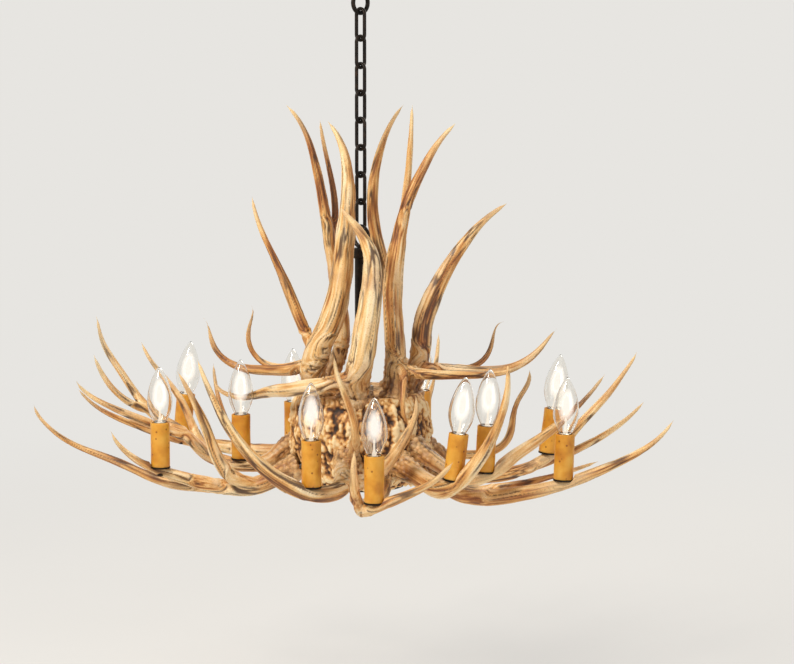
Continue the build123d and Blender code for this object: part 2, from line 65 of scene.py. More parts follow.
MM = 0.001
NODES = frame["nodes"]
LAMPS = range(1, 13)
ANTLERS = sorted(name for name in NODES if name.startswith("antler_"))
LINKS = sorted(name for name in NODES if name.startswith("chain_link_"))
DRUM_LOW, DRUM_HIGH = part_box("hub_drum")
HEART = Vector((0.0, 0.0, (DRUM_LOW.z + DRUM_HIGH.z) / 2))
LAMP_PLANE = DRUM_HIGH.z + 12 * MM      # the level of the bulbs' middle
WORLD_LIGHT = 0.42                      # strength of the pale room round the object

# A candle, in heights above the flat that it stands on.
SLEEVE_LOW, SLEEVE_TOP, SLEEVE_RADIUS, SLEEVE_WALL = 2 * MM, 64 * MM, 13.2 * MM, 2.2 * MM
GLASS_TOP, GLASS_WIDEST, GLASS_RADIUS, GLASS_NECK = 141 * MM, 92.5 * MM, 17.5 * MM, 8.6 * MM
GLASS_WALL = 0.8 * MM
SLEEVE_RIM, SLEEVE_WOBBLE, SLEEVE_ROWS = 0.7 * MM, 0.009, 14
CAP_RADIUS, CAP_LOW = 6.1 * MM, 43 * MM
CAP_TURNS, CAP_PITCH, CAP_GROOVE = 9, 1.8 * MM, 0.45 * MM
CAP_OVERLAP = 0.3 * MM                  # how far the cap's rim stands above the sleeve
FILAMENT_HEIGHT = 103 * MM
GLARE_RADIUS, GLARE_CORE, GLARE_REACH = 11.5 * MM, 6 * MM, 18 * MM
GLARE_ROWS = 12
GLARE_SHARES = (0.16, 0.26, 0.38, 0.50, 0.63, 0.77, 0.92)


# ---------------------------------------------------------------- materials

def linear(hex_colour):
    """An sRGB hex colour, as a linear RGBA."""
    parts = [int(hex_colour[i:i + 2], 16) / 255 for i in (1, 3, 5)]
    return [c / 12.92 if c <= 0.04045 else ((c + 0.055) / 1.055) ** 2.4 for c in parts] + [1.0]


def per_metre(size_mm):
    """The texture scale at which a pattern repeats about every size_mm."""
    return 1000.0 / size_mm


def new_material(name):
    """An empty material, and the tree that its nodes go in."""
    material = bpy.data.materials.new(name)
    material.use_nodes = True
    material.node_tree.nodes.clear()
    return material, material.node_tree


def add(tree, kind, inputs=None, stops=(), **settings):
    """Adds a node. inputs are values, or nodes and outputs to link; stops are a ramp's places and
    colours."""
    node = tree.nodes.new(kind)
    for key, value in settings.items():
        setattr(node, key, value)
    for _ in stops[2:]:
        node.color_ramp.elements.new(0.5)
    for index, (place, colour) in enumerate(stops):
        node.color_ramp.elements[index].position = place
        node.color_ramp.elements[index].color = linear(colour)
    for key, value in (inputs or {}).items():
        if isinstance(value, bpy.types.Node):
            value = next(out for out in value.outputs if out.enabled)
        if isinstance(value, bpy.types.NodeSocket):
            tree.links.new(value, node.inputs[key])
        else:
            node.inputs[key].default_value = value
    return node


def oiled_antler():
    """Shed antler, cleaned and oiled: a brown stained skin over cream bone. The eye sees dark grooves and
    fine lines between worn cream ridges, pale rubbed tips and a low waxy gloss."""
    material, tree = new_material("oiled_antler")
    place = add(tree, "ShaderNodeTexCoord").outputs["Object"]
    grain = add(tree, "ShaderNodeAttribute", attribute_name="grain").outputs["Vector"]
    streak, groove, tip, burr = (
        add(tree, "ShaderNodeAttribute", attribute_name=name).outputs["Fac"]
        for name in ("streak", "groove", "tip", "burr"))
    # Fibres are drawn about 2 mm apart and 40 mm long, coarser than the real ones, so that they show.
    drawn_out = add(tree, "ShaderNodeMapping", {"Vector": grain, "Scale": (1.0, 1.0, 0.05)})
    fibre = add(tree, "ShaderNodeTexNoise", {"Vector": drawn_out, "Scale": per_metre(2.2), "Detail": 3.0})
    band = add(tree, "ShaderNodeTexNoise", {"Vector": drawn_out, "Scale": per_metre(7.5), "Detail": 2.0})
    tone = add(tree, "ShaderNodeMix", {0: 0.42, 2: streak, 3: band}, data_type="FLOAT")
    tone = add(tree, "ShaderNodeMix", {0: 0.34, 2: tone, 3: fibre}, data_type="FLOAT")
    skin = add(tree, "ShaderNodeValToRGB", {"Fac": tone}, stops=[
        (0.30, "#633A1A"), (0.39, "#A96C32"), (0.46, "#D9A25C"), (0.54, "#EFC88A"), (0.66, "#FBE6BE")])
    blotch = add(tree, "ShaderNodeTexNoise", {"Vector": place, "Scale": per_metre(45), "Detail": 4.0})
    stain = add(tree, "ShaderNodeValToRGB", {"Fac": blotch}, stops=[
        (0.32, "#B98A5C"), (0.47, "#F3E6D6"), (0.60, "#FFFFFF")])
    stained = add(tree, "ShaderNodeMix", {0: 0.6, 6: skin, 7: stain}, data_type="RGBA",
                  blend_type="MULTIPLY")
    worn = add(tree, "ShaderNodeMapRange", {"Value": tip, "To Max": 0.62})
    rubbed = add(tree, "ShaderNodeMix", {0: worn, 6: stained, 7: linear("#F3D7A4")}, data_type="RGBA")
    browned = add(tree, "ShaderNodeMapRange", {"Value": burr, "To Max": 0.55})
    rooted = add(tree, "ShaderNodeMix", {0: browned, 6: rubbed, 7: linear("#B07C46")}, data_type="RGBA")
    dark = add(tree, "ShaderNodeMapRange", {"Value": groove, "To Max": 0.92})
    grooved = add(tree, "ShaderNodeMix", {0: dark, 6: rooted, 7: linear("#4A2A14")}, data_type="RGBA")
    # Pores are finer than a render's pixel, so they are drawn about 1.6 mm apart.
    pores = add(tree, "ShaderNodeTexNoise", {"Vector": place, "Scale": per_metre(1.6), "Detail": 3.0})
    speckle = add(tree, "ShaderNodeValToRGB", {"Fac": pores}, stops=[
        (0.30, "#A88258"), (0.42, "#F3EADF"), (0.54, "#FFFFFF")])
    colour = add(tree, "ShaderNodeMix", {0: 0.45, 6: grooved, 7: speckle}, data_type="RGBA",
                 blend_type="MULTIPLY")
    gloss = add(tree, "ShaderNodeMapRange", {"Value": tone, "To Min": 0.62, "To Max": 0.38})
    relief = add(tree, "ShaderNodeMix", {0: 0.35, 2: fibre, 3: pores}, data_type="FLOAT")
    bump = add(tree, "ShaderNodeBump", {"Height": relief, "Strength": 0.55, "Distance": 0.7 * MM})
    shader = add(tree, "ShaderNodeBsdfPrincipled", {
        "Base Color": colour, "Roughness": gloss, "IOR": 1.54, "Normal": bump,
        "Subsurface Weight": 0.06, "Subsurface Radius": (0.004, 0.002, 0.001), "Subsurface Scale": 1.0})
    add(tree, "ShaderNodeOutputMaterial", {"Surface": shader})
    return material


def burr_crust():
    """Sawn antler burrs packed round a core: pearled, flaked bone. The eye sees cream crests over deep
    brown pits, partly the burrs' own stain and partly painted shade, with hardly any gloss."""
    material, tree = new_material("burr_crust")
    place = add(tree, "ShaderNodeTexCoord").outputs["Object"]
    height = add(tree, "ShaderNodeAttribute", attribute_name="height").outputs["Fac"]
    flake = add(tree, "ShaderNodeTexNoise", {"Vector": place, "Scale": per_metre(5), "Detail": 5.0})
    # The tone follows the carved height: the deeper a point lies, the darker it is, down to near black,
    # partly the burrs' own brown and partly painted shade.
    worn = add(tree, "ShaderNodeMix", {0: 0.35, 2: height, 3: flake}, data_type="FLOAT")
    crust = add(tree, "ShaderNodeValToRGB", {"Fac": worn}, stops=[
        (0.15, "#24140A"), (0.27, "#5E3A1C"), (0.37, "#A66E36"), (0.47, "#DDA964"), (0.62, "#F5DBAA")])
    bump = add(tree, "ShaderNodeBump", {"Height": flake, "Strength": 0.7, "Distance": 1.5 * MM})
    shader = add(tree, "ShaderNodeBsdfPrincipled", {
        "Base Color": crust, "Roughness": 0.68, "IOR": 1.54, "Normal": bump})
    add(tree, "ShaderNodeOutputMaterial", {"Surface": shader})
    return material


def honey_resin():
    """Cast candle resin, tinted like beeswax: a satin skin that light enters a little, with dark specks
    and slow clouds of deeper honey."""
    material, tree = new_material("honey_resin")
    place = add(tree, "ShaderNodeTexCoord").outputs["Object"]
    cloud = add(tree, "ShaderNodeTexNoise", {"Vector": place, "Scale": per_metre(22), "Detail": 3.0})
    honey = add(tree, "ShaderNodeValToRGB", {"Fac": cloud}, stops=[
        (0.30, "#C27A18"), (0.50, "#D9962B"), (0.72, "#E6AC45")])
    # The specks are 1 to 2 mm across and about 12 mm apart.
    specks = add(tree, "ShaderNodeTexVoronoi", {"Vector": place, "Scale": per_metre(12)})
    spot = add(tree, "ShaderNodeValToRGB", {"Fac": specks}, stops=[
        (0.05, "#7A4A10"), (0.09, "#C39A5C"), (0.15, "#FFFFFF")])
    speckled = add(tree, "ShaderNodeMix", {0: 0.85, 6: honey, 7: spot}, data_type="RGBA",
                   blend_type="MULTIPLY")
    grain = add(tree, "ShaderNodeTexNoise", {"Vector": place, "Scale": per_metre(3), "Detail": 3.0})
    bump = add(tree, "ShaderNodeBump", {"Height": grain, "Strength": 0.2, "Distance": 0.4 * MM})
    shader = add(tree, "ShaderNodeBsdfPrincipled", {
        "Base Color": speckled, "Roughness": 0.44, "IOR": 1.5, "Normal": bump,
        "Subsurface Weight": 0.15, "Subsurface Radius": (0.008, 0.003, 0.001), "Subsurface Scale": 1.0})
    add(tree, "ShaderNodeOutputMaterial", {"Surface": shader})
    return material


def blackened_iron():
    """Forged mild steel, oil blackened: almost black, with broad soft highlights and a brown bloom."""
    material, tree = new_material("blackened_iron")
    place = add(tree, "ShaderNodeTexCoord").outputs["Object"]
    bloom = add(tree, "ShaderNodeTexNoise", {"Vector": place, "Scale": per_metre(7), "Detail": 5.0})
    oxide = add(tree, "ShaderNodeValToRGB", {"Fac": bloom}, stops=[
        (0.35, "#1A1613"), (0.58, "#2A221C"), (0.78, "#453225")])
    rough = add(tree, "ShaderNodeMapRange", {"Value": bloom, "To Min": 0.34, "To Max": 0.58})
    hammer = add(tree, "ShaderNodeTexNoise", {"Vector": place, "Scale": per_metre(4), "Detail": 2.0})
    bump = add(tree, "ShaderNodeBump", {"Height": hammer, "Strength": 0.3, "Distance": 0.4 * MM})
    shader = add(tree, "ShaderNodeBsdfPrincipled", {
        "Base Color": oxide, "Metallic": 0.75, "Roughness": rough, "Normal": bump})
    add(tree, "ShaderNodeOutputMaterial", {"Surface": shader})
    return material


def plated_steel(name, colour, roughness):
    """Turned and plated steel or brass: a bright metal with fine brushed variation in its gloss."""
    material, tree = new_material(name)
    place = add(tree, "ShaderNodeTexCoord").outputs["Object"]
    haze = add(tree, "ShaderNodeTexNoise", {"Vector": place, "Scale": per_metre(5), "Detail": 4.0})
    tone = add(tree, "ShaderNodeMix", {0: haze, 6: linear(colour), 7: linear("#8C8A86")}, data_type="RGBA")
    rough = add(tree, "ShaderNodeMapRange", {
        "Value": haze, "To Min": roughness, "To Max": roughness + 0.15})
    shader = add(tree, "ShaderNodeBsdfPrincipled", {
        "Base Color": tone, "Metallic": 1.0, "Roughness": rough})
    add(tree, "ShaderNodeOutputMaterial", {"Surface": shader})
    return material


def moulded_phenolic():
    """Moulded black phenolic lampholder: hard and glossy, with a faint flow pattern."""
    material, tree = new_material("moulded_phenolic")
    place = add(tree, "ShaderNodeTexCoord").outputs["Object"]
    flow = add(tree, "ShaderNodeTexNoise", {"Vector": place, "Scale": per_metre(12), "Detail": 2.0})
    tone = add(tree, "ShaderNodeValToRGB", {"Fac": flow}, stops=[(0.3, "#15110F"), (0.7, "#28211C")])
    shader = add(tree, "ShaderNodeBsdfPrincipled", {"Base Color": tone, "Roughness": 0.28, "IOR": 1.6})
    add(tree, "ShaderNodeOutputMaterial", {"Surface": shader})
    return material


def blown_glass():
    """Clear blown soda-lime glass: seen by its bright rim and a few reflections."""
    material, tree = new_material("blown_glass")
    shader = add(tree, "ShaderNodeBsdfPrincipled", {
        "Base Color": linear("#FBFAF7"), "Roughness": 0.0, "IOR": 1.5, "Transmission Weight": 1.0})
    add(tree, "ShaderNodeOutputMaterial", {"Surface": shader})
    return material


def glow(name, colour, strength, solidity):
    """A lit filament, or the haze of light round it: it shines, and lets what is behind it through by as
    much as it isn't solid."""
    material, tree = new_material(name)
    light = add(tree, "ShaderNodeEmission", {"Color": linear(colour), "Strength": strength})
    clear = add(tree, "ShaderNodeBsdfTransparent")
    haze = add(tree, "ShaderNodeMixShader", {0: solidity, 1: clear, 2: light})
    add(tree, "ShaderNodeOutputMaterial", {"Surface": haze})
    return material


# ---------------------------------------------------------------- carving tools

rng = np.random.default_rng(7)


def dense_form(name, spacing):
    """An even, closed mesh in the shape of a CAD node, with a point about every spacing."""
    copy = bpy.data.objects.new(name + "_form", NODES[name].data.copy())
    bpy.context.scene.collection.objects.link(copy)
    even = copy.modifiers.new("even", "REMESH")
    even.mode, even.voxel_size = "VOXEL", spacing
    mesh = bpy.data.meshes.new_from_object(copy.evaluated_get(bpy.context.evaluated_depsgraph_get()))
    bpy.data.objects.remove(copy)
    mesh.name = name
    mesh.materials.clear()
    return mesh


class Skin:
    """A mesh's points and who their neighbours are, with the fields that are carved into it."""

    def __init__(self, mesh):
        self.mesh, self.count = mesh, len(mesh.vertices)
        points = np.empty(self.count * 3, np.float32)
        mesh.vertices.foreach_get("co", points)
        self.points = points.reshape(-1, 3).astype(float)
        corners = np.empty(len(mesh.loops), np.int32)
        mesh.loops.foreach_get("vertex_index", corners)
        quads = corners.reshape(-1, 4)
        pairs = ((0, 1), (1, 2), (2, 3), (3, 0), (0, 2), (1, 3))
        sides = np.concatenate([quads[:, pair] for pair in pairs])
        sides = np.unique(np.sort(sides, axis=1), axis=0)
        self.start = np.concatenate([sides[:, 0], sides[:, 1]])
        self.end = np.concatenate([sides[:, 1], sides[:, 0]])
        order = np.argsort(self.start, kind="stable")
        self.start, self.end = self.start[order], self.end[order]
        self.first = np.searchsorted(self.start, np.arange(self.count + 1))
        self.measure()

    def measure(self):
        """Works out the steps between neighbours, from where the points are now."""
        self.step = self.points[self.end] - self.points[self.start]
        self.length = np.maximum(np.linalg.norm(self.step, axis=1), 1e-9)

    def gather(self, weights, values):
        """For each point, the weighted sum of its neighbours' values."""
        if values.ndim == 1:
            return np.bincount(self.start, weights * values[self.end], self.count)
        return np.stack([self.gather(weights, values[:, k]) for k in range(values.shape[1])], axis=1)

    def blurred(self, values, times):
        """Values evened out over the neighbours, times over."""
        weights = np.ones(len(self.start))
        total = self.gather(weights, np.ones(self.count))
        for _ in range(times):
            mean = self.gather(weights, values)
            values = 0.5 * values + 0.5 * (mean / (total if values.ndim == 1 else total[:, None]))
        return values

    def relaxed(self, times):
        """Softens creases without shrinking the form: each smoothing is followed by a swelling."""
        for _ in range(times):
            for share in (0.62, -0.64):
                self.points += share * 2 * (self.blurred(self.points, 1) - self.points)
        self.measure()

    def distance(self, sources):
        """The distance over the surface from the nearest source."""
        first, end, length = self.first.tolist(), self.end.tolist(), self.length.tolist()
        far = [math.inf] * self.count
        queue = [(0.0, int(s)) for s in sources]
        for _, s in queue:
            far[s] = 0.0
        while queue:
            gone, here = heapq.heappop(queue)
            if gone > far[here]:
                continue
            for k in range(first[here], first[here + 1]):
                total = gone + length[k]
                if total < far[end[k]]:
                    far[end[k]] = total
                    heapq.heappush(queue, (total, end[k]))
        return np.array(far)

    def rings(self, far, width):
        """Cuts the form across into rings of one width: each point's ring, and the rings' parents."""
        level = np.floor(far / width).astype(int)
        first, end, level_of = self.first.tolist(), self.end.tolist(), level.tolist()
        ring, parent = [-1] * self.count, []
        for seed in np.argsort(level, kind="stable").tolist():
            if ring[seed] >= 0:
                continue
            name, stack, below = len(parent), [seed], -1
            ring[seed] = name
            while stack:
                here = stack.pop()
                for k in range(first[here], first[here + 1]):
                    other = end[k]
                    if level_of[other] == level_of[here]:
                        if ring[other] < 0:
                            ring[other] = name
                            stack.append(other)
                    elif level_of[other] < level_of[here] and ring[other] >= 0:
                        below = ring[other]
            parent.append(below)
        return np.array(ring), parent

    def normals(self):
        """The outward direction at each point."""
        self.mesh.vertices.foreach_set("co", self.points.astype(np.float32).ravel())
        self.mesh.update()
        out = np.empty(self.count * 3, np.float32)
        self.mesh.vertex_normals.foreach_get("vector", out)
        return out.reshape(-1, 3).astype(float)

    def attribute(self, name, values):
        """Keeps a field on the mesh for the materials."""
        layer = self.mesh.attributes.new(name, "FLOAT", "POINT")
        layer.data.foreach_set("value", np.clip(values, 0.0, 1.0).astype(np.float32))

    def vector_attribute(self, name, values):
        """Keeps a place or direction on the mesh for the materials."""
        layer = self.mesh.attributes.new(name, "FLOAT_VECTOR", "POINT")
        layer.data.foreach_set("vector", values.astype(np.float32).ravel())


def lattice(points, seed=0):
    """Smooth noise at (n, 3) points, about -1 to 1, with a wave about every two units."""
    base = np.floor(points).astype(np.int64)
    part = points - base
    part = part * part * (3 - 2 * part)
    total = np.zeros(len(points))
    for corner in range(8):
        offset = np.array([corner & 1, corner >> 1 & 1, corner >> 2 & 1])
        spot = base + offset
        mixed = spot[:, 0] * 73856093 ^ spot[:, 1] * 19349663 ^ spot[:, 2] * 83492791 ^ seed * 2654435761
        mixed = (mixed ^ mixed >> 15) * 2246822519 & 0xFFFFFFFF
        mixed = (mixed ^ mixed >> 13) * 3266489917 & 0xFFFFFFFF
        value = (mixed >> 8 & 0xFFFF) / 32768.0 - 1.0
        total += value * np.prod(np.where(offset, part, 1 - part), axis=1)
    return total * 1.5


def step_up(low, high, values):
    """0 below low, 1 above high, and smooth between."""
    share = np.clip((values - low) / (high - low), 0.0, 1.0)
    return share * share * (3 - 2 * share)


def pearls(skin, spacing, where):
    """Rounded beads spread over the points where the mask is on: their height from 0 to 1."""
    height = np.zeros(skin.count)
    chosen = np.flatnonzero(where > 0.02)
    if len(chosen) == 0:
        return height
    order = rng.permutation(chosen)
    seeds, grid = [], {}
    for k in order.tolist():
        cell = tuple(np.floor(skin.points[k] / spacing).astype(int))
        near = any((cell[0] + a, cell[1] + b, cell[2] + c) in grid and
                   np.linalg.norm(grid[(cell[0] + a, cell[1] + b, cell[2] + c)] - skin.points[k]) < spacing
                   for a in (-1, 0, 1) for b in (-1, 0, 1) for c in (-1, 0, 1))
        if not near:
            grid[cell] = skin.points[k]
            seeds.append(k)
    tree = kdtree.KDTree(len(seeds))
    for index, k in enumerate(seeds):
        tree.insert(skin.points[k], index)
    tree.balance()
    for k in chosen.tolist():
        _, _, gap = tree.find(skin.points[k])
        height[k] = max(0.0, 1.0 - (gap / (0.62 * spacing)) ** 2) ** 0.5
    return height * where


def finished(skin, name, body, material, nodes):
    """Puts a carved skin back into its mesh, as a piece that rides on a body and replaces its nodes."""
    skin.normals()
    skin.mesh.materials.append(material)
    skin.mesh.polygons.foreach_set("use_smooth", np.ones(len(skin.mesh.polygons), bool))
    piece = bpy.data.objects.new(name, skin.mesh)
    bpy.context.scene.collection.objects.link(piece)
    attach(piece, body)
    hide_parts(*nodes)
    return piece


# ---------------------------------------------------------------- candle places

def candle_place(k):
    """Where candle k stands: its flat's centre, with Z along the candle, as a matrix."""
    lift = next(j for j in frame["joints"] if j["name"] == f"bulb_{k}_lift")
    up = Vector(lift["axis"]).normalized()
    side = up.orthogonal().normalized()
    back = up.cross(side)
    spots = [v.co for v in NODES[f"bulb_{k}"].data.vertices]
    span = [[s.dot(way) for s in spots] for way in (side, back, up)]
    centre = sum((way * ((min(r) + max(r)) / 2) for way, r in zip((side, back), span)), Vector())
    foot = centre + up * (max(span[2]) - GLASS_TOP)
    turn = Matrix((side, back, up)).transposed().to_4x4()
    turn.translation = foot
    return turn


CANDLES = {k: candle_place(k) for k in LAMPS}


# ---------------------------------------------------------------- antlers

ANTLER_SPACING = 1.6 * MM       # between the points of an antler's mesh, so that its finest ridge shows
RING_WIDTH = 7 * MM
PEARL_SPACING = 6 * MM
FOOT_REACH = 6 * MM             # the points this near the innermost one are the antler's foot
TIP_FADE = (10 * MM, 75 * MM)   # from a tip, where its rubbed look begins to fade and is gone
TIP_ROUNDING = (5 * MM, 16 * MM)
ROOT_FADE = (16 * MM, 80 * MM)
STOUT_LIMB = 14 * MM            # the limb radius that carries the full relief
FLUTE, LUMP, RIDGE, GROOVE, LINE, PEARL = 1.5, 0.8, 0.55, 1.15, 0.22, 1.9     # relief, in millimetres
LUMP_SPACING = 26 * MM
SEAT_FLAT = (15.5 * MM, 24 * MM)    # from a candle's middle, where its flat ends and the relief is whole
SEAT_DEPTH = 16 * MM


def limb_directions(skin, far):
    """The grain of an antler: each point's place across its limb, turned so that it runs on smoothly along
    every tine, and how thick the limb is there. Also the rings that lie at the tips."""
    ring, parent = skin.rings(far, RING_WIDTH)
    count = len(parent)
    size = np.bincount(ring, minlength=count)
    centre = np.stack([np.bincount(ring, skin.points[:, k], count) / size for k in range(3)], axis=1)
    way = np.zeros_like(centre)
    for child, below in enumerate(parent):
        if below >= 0:
            way[child] += centre[child] - centre[below]
            way[below] += centre[child] - centre[below]
    way /= np.maximum(np.linalg.norm(way, axis=1), 1e-9)[:, None]
    side = np.zeros_like(centre)
    for child, below in enumerate(parent):
        before = side[below] if below >= 0 else np.array([0.31, 0.23, 0.92])
        turned_side = before - way[child] * before.dot(way[child])
        side[child] = turned_side / max(np.linalg.norm(turned_side), 1e-9)
    middle, along, side = (skin.blurred(field[ring], 20) for field in (centre, way, side))
    along /= np.maximum(np.linalg.norm(along, axis=1), 1e-9)[:, None]
    off = skin.points - middle
    grain = np.stack([np.einsum("ij,ij->i", off, side),
                      np.einsum("ij,ij->i", off, np.cross(along, side)), far], axis=1)
    thick = skin.blurred(np.linalg.norm(skin.points - centre[ring], axis=1), 10)
    grown = {below for below in parent if below >= 0}
    ends = [int(np.flatnonzero(ring == r)[np.argmax(far[ring == r])])
            for r in range(count) if r not in grown and size[r] > 2]
    return skin.blurred(grain, 7), thick, ends


def carve_antler(name, material):
    """An antler: webbed forks, flutes and ridges that run out along every tine, pearls at the burr."""
    skin = Skin(dense_form(name, ANTLER_SPACING))
    skin.relaxed(7)
    reach = np.linalg.norm(skin.points - np.array(HEART), axis=1)
    far = skin.distance(np.flatnonzero(reach < reach.min() + FOOT_REACH))
    grain, thick, ends = limb_directions(skin, far)
    from_end = skin.distance(ends)
    tip = 1 - step_up(*TIP_FADE, from_end)
    blunt = 1 - step_up(*TIP_ROUNDING, from_end)
    skin.points += blunt[:, None] * (skin.blurred(skin.points, 18) - skin.points)
    root = 1 - step_up(*ROOT_FADE, far)
    seed = ANTLERS.index(name) * 11

    # The forms, from the broad flutes down to single grooves: how wide each is, and how long.
    flute, ridge, line = (
        lattice(grain / (np.array([wide, wide, long]) * MM), seed + index)
        for index, (wide, long) in enumerate(((10.0, 150.0), (3.6, 60.0), (1.9, 34.0))))
    groove = step_up(0.62, 0.93, 1 - np.abs(ridge)) * step_up(0.25, 0.7, lattice(grain / (
        np.array([9.0, 9.0, 45.0]) * MM), seed + 5) * 0.6 + 0.55)
    stout = np.clip(thick / STOUT_LIMB, 0.15, 1.1)
    bead = pearls(skin, PEARL_SPACING, root * step_up(0.05, 0.5, root))
    lump = lattice(skin.points / LUMP_SPACING, seed + 6)
    high = (FLUTE * flute + LUMP * lump + RIDGE * ridge - GROOVE * groove) * stout + LINE * line
    high = (high * (1 - 0.7 * tip) + PEARL * bead * root) * MM

    # A flat stays flat where a candle stands on it.
    for place in CANDLES.values():
        foot, up = np.array(place.translation), np.array(place.to_3x3().col[2])
        off = skin.points - foot
        rise = off @ up
        aside = np.linalg.norm(off - rise[:, None] * up, axis=1)
        high *= 1 - (1 - step_up(*SEAT_FLAT, aside)) * (np.abs(rise) < SEAT_DEPTH)
    skin.points += skin.normals() * high[:, None]

    skin.attribute("streak", 0.52 + 0.24 * flute + 0.20 * line + 0.10 * lump)
    skin.attribute("groove", groove * (1 - 0.75 * tip) + 0.30 * root * (1 - bead))
    skin.attribute("tip", tip)
    skin.attribute("burr", root * (1 - 0.6 * bead))
    skin.vector_attribute("grain", grain)
    return finished(skin, name.replace("antler_", "carved_"), "chandelier", material, [name])


# ---------------------------------------------------------------- the burr heart

HEART_SPACING = 1.9 * MM
CHUNK_SPACING, BEAD_SPACING, HEART_LUMP = 23 * MM, 5.2 * MM, 30 * MM
BURR_RIMS = 9
HEART_RELIEF = (-5.5, 5.0)      # the deepest pit and the highest crest, in millimetres
HEART_LIP = (3 * MM, 14 * MM)   # from the drum's top, where the relief begins and is whole


def carve_heart(material):
    """The heart: burrs packed together, flaked and pearled, over the turned drum."""
    skin = Skin(dense_form("hub_drum", HEART_SPACING))
    skin.relaxed(4)
    out = skin.normals()
    around = np.arctan2(skin.points[:, 1], skin.points[:, 0])
    everywhere = np.ones(skin.count)
    chunk = pearls(skin, CHUNK_SPACING, everywhere)
    bead = pearls(skin, BEAD_SPACING, everywhere)
    lump = lattice(skin.points / HEART_LUMP, 301)
    flake = lattice(skin.points / (np.array([4.5, 4.5, 9.0]) * MM), 302)
    chip = lattice(skin.points / (np.array([9.0, 9.0, 16.0]) * MM), 303)
    # Beaded rims of the burrs stand round the drum like the edges of coins.
    rim = np.abs(((around * BURR_RIMS / (2 * math.pi) + 0.07 * lump) % 1.0) - 0.5)
    rim = 1 - step_up(0.03, 0.10, rim)
    crevice = step_up(0.55, 0.95, 1 - np.abs(chip)) * (1 - rim)
    high = 3.2 * (chunk - 0.7) + 1.8 * lump + 1.3 * flake - 2.4 * crevice
    high += 2.2 * rim + 2.2 * bead * (0.3 + rim)
    side = step_up(*HEART_LIP, DRUM_HIGH.z - skin.points[:, 2])
    high = np.clip(high, *HEART_RELIEF) * MM * side
    skin.points += out * high[:, None]
    # The colour field: the lower a point lies, the darker it is, crevices darker still and pearls paler.
    # The dark of the pits and crevices is partly the burrs' own brown and partly painted shade.
    shade = 0.20 * (bead - 0.5) + 0.10 * flake - 0.22 * crevice
    skin.attribute("height", 0.50 + 0.075 * (high / MM) + shade)
    return finished(skin, "burr_heart", "chandelier", material, ["hub_drum"])


# ---------------------------------------------------------------- candles and bulbs

def turned(name, profile, around=40, wobble=0.0):
    """A lathed mesh through (radius, height) points; a closed profile ends where it began."""
    closed = profile[0] == profile[-1]
    rows = profile[:-1] if closed else profile
    points, index = [], []
    phase = rng.uniform(0, 2 * math.pi, 3)
    for radius, height in rows:
        if radius < 1e-6:
            index.append([len(points)] * around)
            points.append((0.0, 0.0, height))
            continue
        index.append(list(range(len(points), len(points) + around)))
        for step in range(around):
            a = 2 * math.pi * step / around
            r = radius * (1 + wobble * (math.sin(2 * a + phase[0] + height * 60) + 0.6 * math.sin(
                3 * a + phase[1] - height * 110) + 0.5 * math.sin(height * 210 + phase[2])))
            points.append((r * math.cos(a), r * math.sin(a), height))
    faces = []
    for lower, upper in zip(index, index[1:] + ([index[0]] if closed else [])):
        for step in range(around):
            after = (step + 1) % around
            corners = [lower[step], lower[after], upper[after], upper[step]]
            corners = [c for place, c in enumerate(corners) if c not in corners[:place]]
            if len(corners) > 2:
                faces.append(corners)
    mesh = bpy.data.meshes.new(name)
    mesh.from_pydata(points, [], faces)
    mesh.polygons.foreach_set("use_smooth", np.ones(len(mesh.polygons), bool))
    return mesh


def joined(name, meshes):
    """Several meshes as one; the first are used up."""
    points, faces = [], []
    for mesh in meshes:
        faces += [[corner + len(points) for corner in face.vertices] for face in mesh.polygons]
        points += [vertex.co.copy() for vertex in mesh.vertices]
        bpy.data.meshes.remove(mesh)
    whole = bpy.data.meshes.new(name)
    whole.from_pydata(points, [], faces)
    whole.polygons.foreach_set("use_smooth", np.ones(len(faces), bool))
    return whole


def bezier(start, pull_out, pull_in, end, steps=12):
    """Points on a curve between two (radius, height) points, without the last."""
    corners = [Vector((r, h, 0.0)) for r, h in (start, pull_out, pull_in, end)]
    return [(p.x, p.y) for p in geometry.interpolate_bezier(*corners, steps + 1)][:-1]


def standing(name, mesh, material, k, body, node):
    """Stands a turned piece of candle k in its place."""
    mesh.transform(CANDLES[k])
    mesh.materials.append(material)
    piece = bpy.data.objects.new(name, mesh)
    bpy.context.scene.collection.objects.link(piece)
    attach(piece, body)
    if node:
        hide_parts(node)
    return piece


def glass_outline(inset):
    """The torpedo's outline from its neck to its tip, drawn in by the inset."""
    neck, wide = (GLASS_NECK - inset, SLEEVE_TOP), (GLASS_RADIUS - inset, GLASS_WIDEST)
    tip = (0.0, GLASS_TOP - inset * 1.8)
    lower = bezier(neck, (neck[0] + 3.2 * MM, neck[1] + 7 * MM), (wide[0], wide[1] - 12 * MM), wide, 10)
    upper = bezier(wide, (wide[0], wide[1] + 22 * MM), (4.4 * MM, tip[1] - 0.8 * MM), tip, 18)
    return lower + upper + [tip]


def make_sleeve(k):
    """A candle's resin tube, with a softened rim and a slightly uneven wall."""
    inner, outer, soft = SLEEVE_RADIUS - SLEEVE_WALL, SLEEVE_RADIUS, SLEEVE_RIM
    profile = [(inner, SLEEVE_LOW), (outer - soft, SLEEVE_LOW), (outer, SLEEVE_LOW + soft)]
    for row in range(1, SLEEVE_ROWS):
        rise = (SLEEVE_TOP - SLEEVE_LOW - 2 * soft) * row / SLEEVE_ROWS
        profile.append((outer, SLEEVE_LOW + soft + rise))
    profile += [(outer, SLEEVE_TOP - soft), (outer - 0.3 * soft, SLEEVE_TOP - 0.3 * soft),
                (outer - soft, SLEEVE_TOP), (inner + soft, SLEEVE_TOP), (inner, SLEEVE_TOP - soft),
                (inner, SLEEVE_LOW)]
    standing(f"sleeve_{k}", turned(f"sleeve_{k}", profile, 48, SLEEVE_WOBBLE), RESIN, k, "chandelier",
             f"candle_sleeve_{k}")


